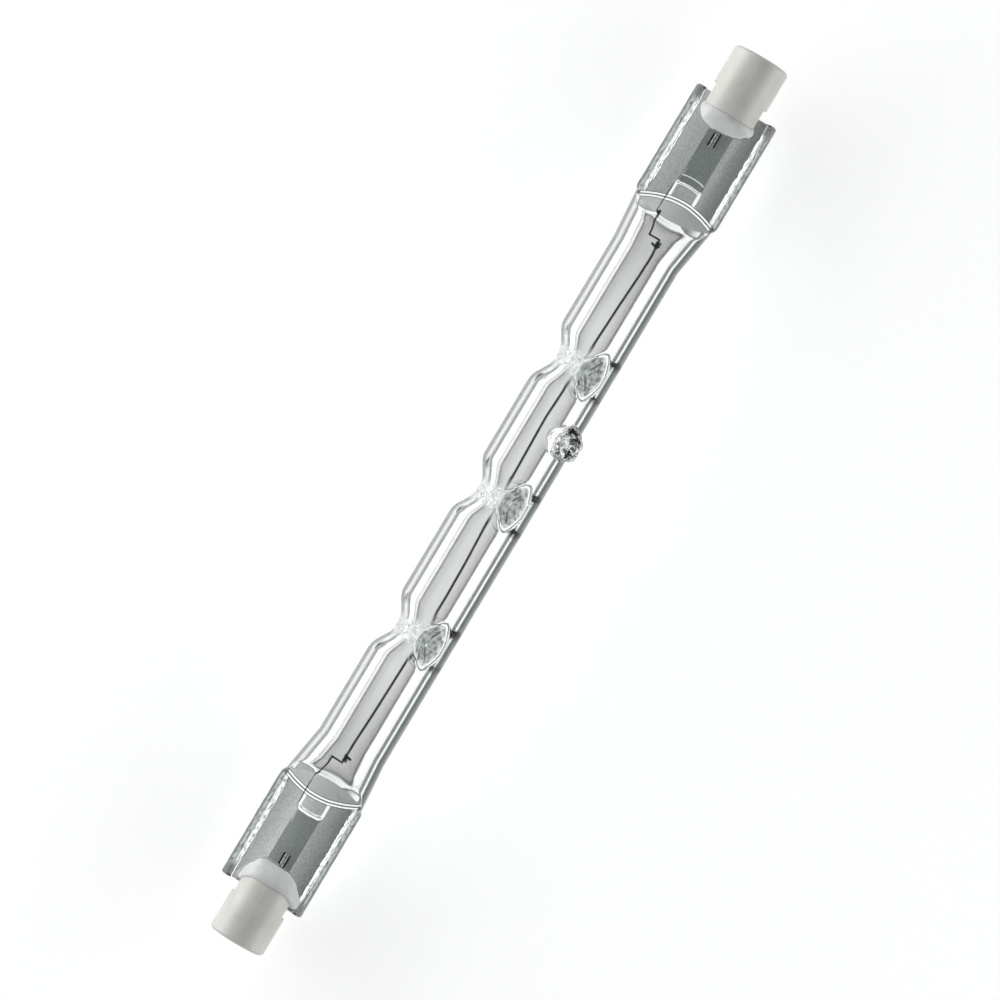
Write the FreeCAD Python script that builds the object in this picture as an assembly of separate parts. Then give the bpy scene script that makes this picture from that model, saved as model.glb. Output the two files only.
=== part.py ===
import FreeCAD, Part
import math
import os

# A double-ended linear halogen lamp, lying on a flat surface. X runs along the lamp from its left
# end to its right end, Z is up and the pressed seals lie level. The origin is under the middle of
# the lamp, on the surface that the tube touches. The lamp is first built round its own axis and
# lifted to that surface at the end. Every end piece is built for the right end, with X outwards,
# and mirrored for the left end. All sizes are in millimetres and all angles in degrees.

# Whole lamp
OVERALL_LENGTH = 117.6

# Quartz tube. Its seam line is turned away from the shoulders' ridges.
TUBE_RADIUS = 4.3
TUBE_WALL = 1.2
SEAM_ANGLE = 30.0

# Crimps: rings of three dimples, pressed in by rounded punches, that hold the coil on the axis.
# A punch is a spindle, parallel to the lamp at PUNCH_AXIS from its axis.
CRIMP_PLACES = (-18.2, 0.1, 17.6)
CRIMP_ANGLES = (0.0, 120.0, 240.0)
CRIMP_FLOOR_RADIUS = 2.5
CRIMP_COIL_CLEARANCE = 0.45
CRIMP_FLOOR_LENGTH = 1.5
CRIMP_SLOPE_LENGTH = 2.75
PUNCH_AXIS = 5.3
PUNCH_LENGTH = 8.4
PUNCH_CLEARANCE = 0.05

# Pressed seal: a flat web between two thick rails. It sits a little off the tube's axis.
SEAL_LENGTH = 12.7
SEAL_WIDTH = 10.6
SEAL_SHIFT = 0.28
WEB_THICKNESS = 2.3
RAIL_WIDTH = 1.25
RAIL_THICKNESS = 3.6
RAIL_ROUND = 0.7
RAIL_START = 1.5
SEAL_CORNER = 0.9
PRESS_DRAFT = 0.8
PRESS_BOW = 1.4
PAD_WIDTH = 3.25
PAD_HEIGHT = 0.35
PAD_LENGTH_TOP = 1.9
PAD_LENGTH_UNDER = 3.0
PAD_BEVEL = 0.15

# Shoulder: the tube widens sideways and slopes down to the seal
SHOULDER_LENGTH = 7.2
SHOULDER_WIDTH = 10.3
SHOULDER_OVERLAP = 0.6
SLOPE_LENGTH = 3.4
SLOPE_END_GAP = 0.3
SLOPE_TOP_ROUND = 2.2
CAVITY_END_GAP = 0.7
CAVITY_END_WIDTH = 2.7
CAVITY_END_THICKNESS = 0.4
CAVITY_SLOPE_LENGTH = 3.6
CAVITY_TAPER_LENGTH = 3.0

# Tip left where the pumping tube was melted off
TIP_PLACE = 9.4
TIP_ANGLE = 135.0
TIP_HEIGHT = 2.3
TIP_ROOT_RADIUS = 2.3
TIP_NOSE_RADIUS = 1.75
TIP_NOSE_HEIGHT = 1.3

# Ceramic caps
CAP_RADIUS = 3.5
CAP_LENGTH = 8.1
CAP_BEVEL = 0.3
SLOT_WIDTH = 3.0
SLOT_DEPTH = 3.2
SLOT_END_GAP = 1.2
RECESS_RADIUS = 1.95
RECESS_DEPTH = 1.7

# Contacts: rivets on the outer leads, let in flush with the floors of the recesses
CONTACT_RADIUS = 1.6
CONTACT_CLEARANCE = 0.05
CONTACT_THICKNESS = 0.6
SHANK_RADIUS = 0.8
SHANK_CLEARANCE = 0.05

# Cement: fills the slot round the seal and stands out of it as a round mound
CEMENT_REACH = 1.9
CEMENT_PROUD = 0.2

# Leads and foils
FOIL_WIDTH = 3.0
FOIL_THICKNESS = 0.05
FOIL_PAD_GAP = 0.15
FOIL_END_COVER = 2.6
OUTER_LEAD_RADIUS = 0.3
OUTER_LEAD_SHOWS = 1.7
INNER_LEAD_RADIUS = 0.11
INNER_LEAD_OVERLAP = 1.6
INNER_LEAD_FOIL_EDGE = 0.25
INNER_LEAD_EXIT = 1.67
WELD_FLAT = 0.02
CRANK_INSET = 5.0
CRANK_DROP = 1.5
COIL_END_GAP = 0.2
LEAD_IN_COIL = 0.9

# Coiled filament, as a rod of the coil's outer size. Offsets are sideways, from the lamp's axis.
COIL_RADIUS = 0.25
COIL_GRIP_CLEARANCE = 0.01
COIL_TAIL_THICKNESS = 0.12
COIL_TAIL_LENGTH = 0.8
COIL_END_OFFSETS = (0.0, -0.6)
COIL_CRIMP_OFFSETS = (-0.36, 0.0, 0.0)

# Places that follow from the sizes above, measured outwards from the middle of the lamp
HALF_LENGTH = OVERALL_LENGTH / 2
CONTACT_DISTANCE = OVERALL_LENGTH - 2 * RECESS_DEPTH
CONTACT_FACE = CONTACT_DISTANCE / 2
CONTACT_SEAT = CONTACT_FACE - CONTACT_THICKNESS
CAP_INNER_FACE = HALF_LENGTH - CAP_LENGTH
SLOT_FLOOR = CAP_INNER_FACE + SLOT_DEPTH
CEMENT_NOSE = CAP_INNER_FACE - CEMENT_REACH
SEAL_END = SLOT_FLOOR - SLOT_END_GAP
JUNCTION = SEAL_END - SEAL_LENGTH
SHOULDER_START = JUNCTION - SHOULDER_LENGTH
SHOULDER_END = JUNCTION + SHOULDER_OVERLAP
SLOPE_END = JUNCTION - SLOPE_END_GAP
CAVITY_END = JUNCTION - CAVITY_END_GAP
FOIL_START = JUNCTION + PAD_LENGTH_TOP + FOIL_PAD_GAP
FOIL_END = SEAL_END - FOIL_END_COVER
OUTER_LEAD_START = CEMENT_NOSE - OUTER_LEAD_SHOWS
CRANK_PLACE = JUNCTION - CRANK_INSET
COIL_END = CRANK_PLACE - COIL_END_GAP

# Heights and radii that follow, measured from the lamp's axis
CAVITY_RADIUS = TUBE_RADIUS - TUBE_WALL
CRIMP_HOLE_RADIUS = COIL_RADIUS + CRIMP_COIL_CLEARANCE
WEB_TOP = WEB_THICKNESS / 2
RAIL_TOP = RAIL_THICKNESS / 2
FOIL_TOP = WELD_FLAT - INNER_LEAD_RADIUS
OUTER_LEAD_HEIGHT = FOIL_TOP + OUTER_LEAD_RADIUS - WELD_FLAT

Vector = FreeCAD.Vector
CENTRE = Vector(0, 0, 0)
ALONG = Vector(1, 0, 0)
ACROSS = Vector(0, 1, 0)
UP = Vector(0, 0, 1)
ROOM = 2 * SEAL_WIDTH


def mirrored(shape):
    """The left end's copy of a right end piece."""
    return shape.mirror(CENTRE, ALONG)


def turned_over(shape):
    return shape.mirror(CENTRE, UP)


def rod(radius, start, end, across=0.0, height=0.0):
    """A cylinder along the lamp."""
    return Part.makeCylinder(radius, end - start, Vector(start, across, height), ALONG)


def block(start, end, width, low, high, shift=0.0):
    """A box along the lamp, centred sideways on shift."""
    return Part.makeBox(end - start, width, high - low, Vector(start, shift - width / 2, low))


def round_corner(before, corner, after, radius):
    """The arc that rounds a corner between two straight runs."""
    back = (before - corner).normalize()
    onward = (after - corner).normalize()
    turn = math.pi - back.getAngle(onward)
    reach = radius * math.tan(turn / 2)
    middle = corner + (back + onward).normalize() * (radius / math.cos(turn / 2) - radius)
    return Part.Arc(corner + back * reach, middle, corner + onward * reach)


def closed_face(edges, corners):
    """A face inside the edges, closed by straight runs through the corners."""
    for start, end in zip(corners, corners[1:]):
        edges.append(Part.LineSegment(start, end).toShape())
    return Part.Face(Part.Wire(edges))


def punch(place, angle, skin_radius, floor_radius):
    """A spindle that dimples a round skin down to floor_radius from the lamp's axis."""
    half = PUNCH_LENGTH / 2
    skin = PUNCH_AXIS - skin_radius - PUNCH_CLEARANCE
    floor = PUNCH_AXIS - floor_radius
    bottom = CRIMP_FLOOR_LENGTH / 2
    top = bottom + CRIMP_SLOPE_LENGTH
    profile = [
        (-half, 0), (-half, skin), (-top, skin), (-bottom, floor),
        (bottom, floor), (top, skin), (half, skin), (half, 0), (-half, 0)]
    outline = Part.makePolygon([Vector(x, 0, radius) for x, radius in profile])
    spindle = Part.Face(outline).revolve(CENTRE, ALONG, 360)
    spindle.translate(Vector(place, PUNCH_AXIS, 0))
    spindle.rotate(CENTRE, ALONG, angle)
    return spindle


def punches(skin_radius, floor_radius):
    return [
        punch(place, angle, skin_radius, floor_radius)
        for place in CRIMP_PLACES
        for angle in CRIMP_ANGLES]


def wing(side, shift):
    """One side of the stretch that widens: half of the tube, turned outwards on the lamp's axis."""
    spread = side * (SHOULDER_WIDTH / 2 - TUBE_RADIUS) + shift
    outwards = Vector(SHOULDER_LENGTH, spread, 0).normalize()
    start = Vector(SHOULDER_START, 0, 0) - outwards
    turned_tube = Part.makeCylinder(TUBE_RADIUS, 2 * SHOULDER_LENGTH, start, outwards)
    length = SHOULDER_END - start.x
    low_corner = Vector(start.x, min(side * ROOM, 0), -ROOM)
    return turned_tube.common(Part.makeBox(length, ROOM, 2 * ROOM, low_corner))


def slope_tool():
    """What the jaw takes off above the slope and the rails, over the whole width."""
    start = SLOPE_END - SLOPE_LENGTH
    corners = [
        Vector(start - SLOPE_TOP_ROUND, -ROOM / 2, TUBE_RADIUS),
        Vector(start, -ROOM / 2, TUBE_RADIUS),
        Vector(SLOPE_END, -ROOM / 2, RAIL_TOP),
        Vector(SEAL_END + 1, -ROOM / 2, RAIL_TOP)]
    shoulder = round_corner(corners[0], corners[1], corners[2], SLOPE_TOP_ROUND)
    above = 2 * TUBE_RADIUS
    rest = [
        shoulder.EndPoint,
        corners[2],
        corners[3],
        Vector(corners[3].x, -ROOM / 2, above),
        Vector(corners[0].x, -ROOM / 2, above),
        corners[0],
        shoulder.StartPoint]
    return closed_face([shoulder.toShape()], rest).extrude(ACROSS * ROOM)


def web_outline(height, shift):
    """The pressed web in plan, straight beside the rails and bowed outwards at the tube."""
    grow = PRESS_DRAFT * (height - WEB_TOP)
    half = SEAL_WIDTH / 2 - RAIL_WIDTH + grow
    side = JUNCTION - PRESS_BOW - grow
    far = SEAL_END + 1
    bow = Part.Arc(
        Vector(side, shift - half, height),
        Vector(JUNCTION - grow, shift, height),
        Vector(side, shift + half, height))
    edges = [bow.toShape()]
    corners = [(side, half), (far, half), (far, -half), (side, -half)]
    for start, end in zip(corners, corners[1:]):
        edges.append(Part.LineSegment(
            Vector(start[0], shift + start[1], height),
            Vector(end[0], shift + end[1], height)).toShape())
    return Part.Wire(edges)


def web_tool(shift):
    """The part of the jaw that flattens the web, with sloping sides."""
    return Part.makeLoft(
        [web_outline(WEB_TOP, shift), web_outline(TUBE_RADIUS, shift)], True, True)


def rail_bar(shift):
    """The bar that the web is pressed into, rounded along its long edges and at its corners."""
    start = JUNCTION - RAIL_START
    bar = block(start, SEAL_END, SEAL_WIDTH, -RAIL_TOP, RAIL_TOP, shift)
    long_edges = [edge for edge in bar.Edges if edge.BoundBox.XLength > SEAL_LENGTH / 2]
    bar = bar.makeFillet(RAIL_ROUND, long_edges)
    plan = block(start, SEAL_END, SEAL_WIDTH, -RAIL_TOP - 1, RAIL_TOP + 1, shift)
    upright = [edge for edge in plan.Edges if edge.BoundBox.ZLength > RAIL_THICKNESS]
    return bar.common(plan.makeFillet(SEAL_CORNER, upright))


def web_pad(length, shift):
    """The low raised pad beside the tube, over the end of the foil."""
    top = WEB_TOP + PAD_HEIGHT
    pad = block(JUNCTION - PRESS_BOW, JUNCTION + length, PAD_WIDTH, 0, top, shift)
    rim = [
        edge for edge in pad.Edges
        if edge.BoundBox.ZMin > top - 0.01 and edge.BoundBox.XMax > JUNCTION]
    return pad.makeChamfer(PAD_BEVEL, rim)


def cavity_end_tools(shift):
    """What narrows the round cavity to a flat slit at the seal: two slopes and two sides."""
    far = CAVITY_END + 1
    start = CAVITY_END - CAVITY_SLOPE_LENGTH
    half = CAVITY_END_THICKNESS / 2
    fall = (CAVITY_RADIUS - half) / CAVITY_SLOPE_LENGTH
    above = 2 * CAVITY_RADIUS
    slope = closed_face([], [
        Vector(start - 1, -ROOM / 2, CAVITY_RADIUS + fall),
        Vector(far, -ROOM / 2, half - fall),
        Vector(far, -ROOM / 2, above),
        Vector(start - 1, -ROOM / 2, above),
        Vector(start - 1, -ROOM / 2, CAVITY_RADIUS + fall)]).extrude(ACROSS * ROOM)
    sides = []
    for side in (-1, 1):
        edge = side * CAVITY_END_WIDTH / 2 + shift
        outside = side * CAVITY_RADIUS
        swing = (outside - edge) / CAVITY_TAPER_LENGTH
        sides.append(closed_face([], [
            Vector(CAVITY_END - CAVITY_TAPER_LENGTH - 1, outside + swing, -above),
            Vector(far, edge - swing, -above),
            Vector(far, 2 * outside, -above),
            Vector(CAVITY_END - CAVITY_TAPER_LENGTH - 1, 2 * outside, -above),
            Vector(CAVITY_END - CAVITY_TAPER_LENGTH - 1, outside + swing, -above),
        ]).extrude(UP * 2 * above))
    return [slope, turned_over(slope)] + sides


def tip():
    """The tip left by the pumping tube: a short tapered stub with a blunt, round nose."""
    foot = CAVITY_RADIUS + TUBE_WALL / 4
    nose = TUBE_RADIUS + TIP_NOSE_HEIGHT
    dome_height = TIP_HEIGHT - TIP_NOSE_HEIGHT
    dome_radius = (TIP_NOSE_RADIUS ** 2 + dome_height ** 2) / (2 * dome_height)
    dome = Part.makeSphere(dome_radius, Vector(0, 0, TUBE_RADIUS + TIP_HEIGHT - dome_radius))
    above_nose = Part.makeCylinder(TIP_NOSE_RADIUS, TIP_HEIGHT, Vector(0, 0, nose))
    stub = Part.makeCone(TIP_ROOT_RADIUS, TIP_NOSE_RADIUS, nose - foot, Vector(0, 0, foot))
    whole = stub.fuse(dome.common(above_nose))
    whole.rotate(CENTRE, ALONG, TIP_ANGLE - 90)
    whole.translate(Vector(TIP_PLACE, 0, 0))
    return whole


def envelope_outside():
    """The quartz as a full body: tube, shoulders, seals and tip, with the crimps pressed in."""
    body = rod(TUBE_RADIUS, -SHOULDER_END, SHOULDER_END)
    body.rotate(CENTRE, ALONG, SEAM_ANGLE)
    pads = []
    for turned, shift in ((mirrored, SEAL_SHIFT), (Part.Shape.copy, -SEAL_SHIFT)):
        body = body.fuse([turned(wing(1, shift)), turned(wing(-1, shift))])
        body = body.fuse(turned(rail_bar(shift)))
        for tool in (slope_tool(), web_tool(shift)):
            body = body.cut([turned(tool), turned(turned_over(tool))])
        pads += [
            turned(web_pad(PAD_LENGTH_TOP, shift)),
            turned(turned_over(web_pad(PAD_LENGTH_UNDER, shift)))]
    body = body.cut(punches(TUBE_RADIUS, CRIMP_FLOOR_RADIUS))
    return body.fuse(pads + [tip()])


def envelope_cavity():
    """The gas space: round, dimpled at the crimps, and narrowed to a slit at each seal."""
    body = rod(CAVITY_RADIUS, -CAVITY_END, CAVITY_END)
    cuts = punches(CAVITY_RADIUS, CRIMP_HOLE_RADIUS)
    cuts += [mirrored(tool) for tool in cavity_end_tools(SEAL_SHIFT)]
    cuts += cavity_end_tools(-SEAL_SHIFT)
    return body.cut(cuts)


def quartz_envelope(held):
    """The quartz in one piece, with the ways of the leads and foils that are sealed into it."""
    return envelope_outside().cut([envelope_cavity()] + held)


def seal_foil(shift):
    return block(FOIL_START, FOIL_END, FOIL_WIDTH, FOIL_TOP - FOIL_THICKNESS, FOIL_TOP, shift)


def outer_lead(foil):
    """A straight pin from the foil to the contact, flat where it is welded to the foil."""
    end = CONTACT_FACE - CONTACT_THICKNESS / 2
    return rod(OUTER_LEAD_RADIUS, OUTER_LEAD_START, end, 0, OUTER_LEAD_HEIGHT).cut(foil)


def bent_rod(points, radius):
    """A round rod through the points, with a mitre at each inner one."""
    runs = []
    for number, (start, end) in enumerate(zip(points, points[1:])):
        along = (end - start).normalize()
        mitres = []
        if number > 0:
            before = (start - points[number - 1]).normalize()
            mitres.append((start, (before + along) * -1))
            start = start - along * radius
        if number + 2 < len(points):
            after = (points[number + 2] - end).normalize()
            mitres.append((end, along + after))
            end = end + along * radius
        run = Part.makeCylinder(radius, (end - start).Length, start, along)
        for point, beyond in mitres:
            run = run.cut(Part.makeCylinder(4 * radius, 4 * radius, point, beyond))
        runs.append(run)
    return runs[0].fuse(runs[1:])


def inner_lead(shift, coil_offset, foil):
    """The cranked wire that is welded along the foil's edge and ends inside the coil."""
    weld = shift + FOIL_WIDTH / 2 - INNER_LEAD_FOIL_EDGE
    points = [
        Vector(FOIL_START + INNER_LEAD_OVERLAP, weld, 0),
        Vector(JUNCTION, shift + INNER_LEAD_EXIT, 0),
        Vector(CRANK_PLACE, coil_offset + CRANK_DROP, 0),
        Vector(CRANK_PLACE, coil_offset, 0),
        Vector(COIL_END - LEAD_IN_COIL, coil_offset, 0)]
    return bent_rod(points, INNER_LEAD_RADIUS).cut(foil)


def filament():
    """The coil as a slim rod that passes through every crimp and grips a lead at each end."""
    left, right = COIL_END_OFFSETS
    inside = COIL_END - LEAD_IN_COIL
    places = [(-COIL_END, left), (-inside, left)]
    places += list(zip(CRIMP_PLACES, COIL_CRIMP_OFFSETS))
    places += [(inside, right), (COIL_END, right)]
    points = [Vector(x, y, 0) for x, y in places]
    coil = bent_rod(points, COIL_RADIUS)
    tails = []
    for x, offset in ((-inside, left), (inside, right)):
        length = COIL_RADIUS / 2 + COIL_TAIL_LENGTH
        middle = offset + COIL_RADIUS / 2 + length / 2
        half = COIL_TAIL_THICKNESS / 2
        tails.append(block(x - half, x + half, length, -half, half, middle))
    grip = INNER_LEAD_RADIUS + COIL_GRIP_CLEARANCE
    bores = [rod(grip, -COIL_END, -inside, left), rod(grip, inside, COIL_END, right)]
    return coil.fuse(tails).cut(bores)


def ceramic_cap():
    """A round cap: slot for the seal, recess for the holder's pin, seat and hole for the contact."""
    cap = rod(CAP_RADIUS, CAP_INNER_FACE, HALF_LENGTH)
    rim = [edge for edge in cap.Edges if edge.BoundBox.XMin > HALF_LENGTH - 0.01]
    cap = cap.makeChamfer(CAP_BEVEL, rim)
    slot = block(CAP_INNER_FACE - 1, SLOT_FLOOR, ROOM, -SLOT_WIDTH / 2, SLOT_WIDTH / 2)
    shank_hole = rod(SHANK_RADIUS + SHANK_CLEARANCE, SLOT_FLOOR, CONTACT_SEAT, 0, OUTER_LEAD_HEIGHT)
    seat = rod(CONTACT_RADIUS + CONTACT_CLEARANCE, CONTACT_SEAT, CONTACT_FACE)
    recess = rod(RECESS_RADIUS, CONTACT_FACE, HALF_LENGTH)
    return cap.cut([slot, shank_hole, seat, recess])


def contact(lead):
    """A rivet: its head is the contact face and its shank grips the outer lead."""
    head = rod(CONTACT_RADIUS, CONTACT_SEAT, CONTACT_FACE)
    shank = rod(SHANK_RADIUS, SLOT_FLOOR, CONTACT_SEAT, 0, OUTER_LEAD_HEIGHT)
    return head.fuse(shank).cut(lead)


def cement(pieces):
    """Cement in the slot round the seal, and the mound that oozed out of the slot's mouths."""
    ball_radius = (CAP_RADIUS ** 2 + CEMENT_REACH ** 2) / (2 * CEMENT_REACH)
    ball = Part.makeSphere(ball_radius, Vector(CEMENT_NOSE + ball_radius, 0, 0))
    mound = ball.common(block(CEMENT_NOSE - 1, CAP_INNER_FACE, ROOM, -ROOM, ROOM))
    slot = block(CAP_INNER_FACE, SLOT_FLOOR, ROOM, -SLOT_WIDTH / 2, SLOT_WIDTH / 2)
    fill = rod(CAP_RADIUS + CEMENT_PROUD, CAP_INNER_FACE, SLOT_FLOOR).common(slot)
    zone = block(CEMENT_NOSE - 1, SLOT_FLOOR + 1, ROOM, -ROOM, ROOM)
    return mound.fuse(fill).cut([piece.common(zone) for piece in pieces])


def build():
    """Every piece by name, still round the lamp's own axis."""
    ends = (
        ("left", mirrored, SEAL_SHIFT, COIL_END_OFFSETS[0]),
        ("right", Part.Shape.copy, -SEAL_SHIFT, COIL_END_OFFSETS[1]))
    nodes = {}
    sealed_in = []
    for end, turned, shift, coil_offset in ends:
        foil = seal_foil(shift)
        pin = outer_lead(foil)
        pieces = {
            "seal_foil_": foil,
            "outer_lead_": pin,
            "inner_lead_": inner_lead(shift, coil_offset, foil)}
        sealed_in += [turned(piece) for piece in pieces.values()]
        pieces["ceramic_cap_"] = ceramic_cap()
        pieces["contact_"] = contact(pin)
        for name, piece in pieces.items():
            nodes[name + end] = turned(piece)
    nodes["quartz_envelope"] = quartz_envelope(sealed_in)
    nodes["filament"] = filament()
    for end, turned, shift, coil_offset in ends:
        around = [nodes[name + end] for name in ("ceramic_cap_", "outer_lead_", "seal_foil_")]
        around.append(nodes["quartz_envelope"])
        nodes["cement_" + end] = turned(cement([turned(piece) for piece in around]))
    return nodes


os.makedirs("parts", exist_ok=True)
for name, shape in build().items():
    volumes = sorted((round(solid.Volume, 3) for solid in shape.Solids), reverse=True)
    print(name, "valid", shape.isValid(), "solids by volume", volumes)
    piece = shape.Solids[0] if len(shape.Solids) == 1 else shape
    piece.translate(UP * TUBE_RADIUS)
    piece.exportStep("parts/" + name + ".step")
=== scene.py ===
import math
from types import SimpleNamespace
import bpy
import numpy as np
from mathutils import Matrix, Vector, noise


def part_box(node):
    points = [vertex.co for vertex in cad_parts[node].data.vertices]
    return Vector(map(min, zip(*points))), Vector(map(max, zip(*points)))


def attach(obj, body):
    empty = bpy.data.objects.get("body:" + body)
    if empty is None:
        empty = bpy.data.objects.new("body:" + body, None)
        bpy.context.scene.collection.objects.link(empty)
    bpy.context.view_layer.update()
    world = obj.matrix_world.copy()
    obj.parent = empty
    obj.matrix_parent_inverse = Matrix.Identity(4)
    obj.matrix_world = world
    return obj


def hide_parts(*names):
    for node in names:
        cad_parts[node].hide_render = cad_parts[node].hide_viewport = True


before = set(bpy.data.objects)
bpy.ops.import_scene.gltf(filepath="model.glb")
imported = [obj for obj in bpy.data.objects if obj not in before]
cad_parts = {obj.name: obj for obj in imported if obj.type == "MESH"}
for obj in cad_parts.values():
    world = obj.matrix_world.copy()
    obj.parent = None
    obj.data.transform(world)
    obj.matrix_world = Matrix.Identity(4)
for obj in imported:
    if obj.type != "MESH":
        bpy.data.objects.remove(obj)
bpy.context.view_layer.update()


# Quartz envelope
# One piece of drawn fused quartz tube. While it was soft, three rings of dimples were pressed in
# to carry the coil, both ends were pinched flat over the foils, and the pumping tube was melted
# off, which left the lumpy tip.
MM = 0.001
cap_low, cap_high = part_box("ceramic_cap_right")
AXIS_HEIGHT = (cap_low[2] + cap_high[2]) / 2 / MM

TUBE_RADIUS = 4.3
BORE_RADIUS = 3.1
CRIMP_PLACES = (-18.2, 0.1, 17.6)
CRIMPS = ((0.0, 2.75, 1.0), (122.0, 2.3, 1.7), (238.0, 2.3, 1.7))
CRIMP_FLOOR_RADIUS = 2.5
CRIMP_HOLE_RADIUS = 0.7
CRIMP_FLOOR_LENGTH = 1.5
CRIMP_REACH = 6.0
CRIMP_SOFTNESS = 0.45
RING_SLACK = 0.2
DIMPLE_SLACK = 0.25
SLACK_SPACING = 40
PUNCH_AXIS = 5.3
PUNCH_EDGE_RISE = 3
SIDE_DRAW = 1.15
SIDE_DRAW_FLAT = 0.7
SIDE_DRAW_REACH = 3.7

SEAL_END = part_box("quartz_envelope")[1][0] / MM
SEAL_LENGTH = 12.7
JUNCTION = SEAL_END - SEAL_LENGTH
SEAL_WIDTH = 10.6
SEAL_SHIFT = 0.28
WEB_TOP = 1.15
RAIL_TOP = 1.8
RAIL_WIDTH = 1.25
RAIL_WIDTH_LOW = 1.1
RAIL_START = JUNCTION - 1.5
RAIL_CORNER = 0.9
RAIL_SIDE_ROUND = 1.1
RAIL_FULLNESS = 3.2
RAIL_EDGE_WAVE = (0.14, 1.2)
RAIL_SIDE_WAVE = (0.05, 2.5)
WEB_CORNER = 0.3
WEB_FOOT = 0.1
WEB_EDGE = 0.08
PRESS_DRAFT = 1.05
PRESS_BOW = 1.4
PAD_WIDTH = 3.25
PAD_BEVEL = 0.24
PAD_BOW = 0.1
PAD_STEPS_LEFT = ((1.9, 0.24), (2.25, 0.14))
PAD_STEPS_RIGHT = ((2.0, 0.22), (3.05, 0.16))
PAD_STEPS_UNDER = ((3.0, 0.35),)
SHOULDER_START = JUNCTION - 7.2
SHOULDER_WIDTH = 10.3
SLOPE_START = JUNCTION - 3.7
SLOPE_END = JUNCTION - 0.3
SLOPE_FOOT = 0.25
CREST_SOFTNESS = 0.9
CREST_SHARPENING = 0.8
WING_FADE = (JUNCTION - 0.4, JUNCTION + 1)
BORE_END = JUNCTION - 0.7
BORE_END_WIDTH = 2.7
BORE_END_THICKNESS = 0.4
BORE_SLOPE_LENGTH = 3.6
BORE_TAPER_LENGTH = 3.0
BORE_LID_FROM = 30
BORE_LID_SOFTNESS = 0.35
END_ROUND = ((0.22, 0.0), (0.1, 0.04), (0.03, 0.1), (0.0, 0.2))

TIP_PLACE = 9.4
TIP_ANGLE = 135.0
TIP_TOP = 6.6
TIP_NOSE = 5.6
TIP_NOSE_RADIUS = 1.75
TIP_WALL_SLOPE = 4.0
TIP_REACH = 4
TIP_SOFTNESS = 0.3
TIP_MARGIN = 1
TIP_LOBES = ((3, 0.07, 0.7), (5, 0.05, 2.1))
TIP_LUMPS = ((1.1, 0.3), (2.6, 0.14))

# The mesh: points round a ring, then how far from a place the rings stay close, and how close
POINTS_AROUND = 136
POINTS_AROUND_BORE = 64
DENSE_POINTS = 900
CRIMP_MESH = (4.3, 0.17)
CRIMP_MESH_BORE = (4.3, 0.2)
TIP_MESH = (2.5, 0.12)
SEAL_STEP = 0.16
BORE_END_STEP = 0.3
PLAIN_STEP = 0.9
STEP_GROWTH = 0.2


def smooth_min(first, second, blend):
    """The lower of two heights, with the corner between them rounded."""
    share = np.clip(0.5 + 0.5 * (second - first) / blend, 0, 1)
    return second + (first - second) * share - blend * share * (1 - share)


def smooth_max(first, second, blend):
    return -smooth_min(-first, -second, blend)


def run_up(value, start, end):
    """0 before start, 1 after end and straight between."""
    return np.clip((value - start) / (end - start), 0, 1)


def wave(place, key, size, spacing):
    """A slow irregular wave along the lamp, as hot glass has. The key picks which one."""
    coarse = noise.noise(Vector((place / spacing, key * 7.3, 0)))
    fine = noise.noise(Vector((place / spacing * 2.7, key * 3.1, 5)))
    return size * (coarse + 0.5 * fine)


def tube_section(x, angles, skin_radius, floor_radius):
    """The radius of a round skin at one place along the lamp, with the crimps pressed in."""
    radius = np.full_like(angles, skin_radius)
    side = np.cos(angles)
    for ring, place in enumerate(CRIMP_PLACES):
        if abs(x - place) > CRIMP_REACH:
            continue
        from_ring = abs(x - place - wave(0.0, ring + 5, RING_SLACK, SLACK_SPACING))
        drawn = run_up(from_ring, SIDE_DRAW_REACH, SIDE_DRAW_FLAT)
        width = skin_radius - SIDE_DRAW * drawn * drawn * (3 - 2 * drawn)
        flattened = 1 / np.sqrt((side / width) ** 2 + (np.sin(angles) / skin_radius) ** 2)
        radius = np.where(side > 0, flattened, radius)
        for angle, slope_length, narrowing in CRIMPS:
            slope = (skin_radius - floor_radius) / slope_length
            middle = place + wave(angle, ring + 1, DIMPLE_SLACK, SLACK_SPACING)
            beyond_floor = abs(x - middle) - CRIMP_FLOOR_LENGTH / 2
            rise = smooth_max(beyond_floor, 0.0, CRIMP_SOFTNESS) * slope
            spindle = max(PUNCH_AXIS - floor_radius - rise, 0.0)
            offset = (angles - math.radians(angle) + math.pi) % (2 * math.pi) - math.pi
            flat_side = offset * (180.0 - angle) > 0
            across = PUNCH_AXIS * np.abs(np.sin(offset)) * np.where(flat_side, narrowing, 1.0)
            inside = np.sqrt(np.clip(spindle ** 2 - across ** 2, 0, None))
            outside = PUNCH_EDGE_RISE * np.clip(across - spindle, 0, None)
            cut = PUNCH_AXIS * np.cos(offset) - inside + outside
            cut = np.where(np.cos(offset) > 0, cut, 2 * PUNCH_AXIS)
            radius = smooth_min(radius, cut, CRIMP_SOFTNESS)
    return radius


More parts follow.
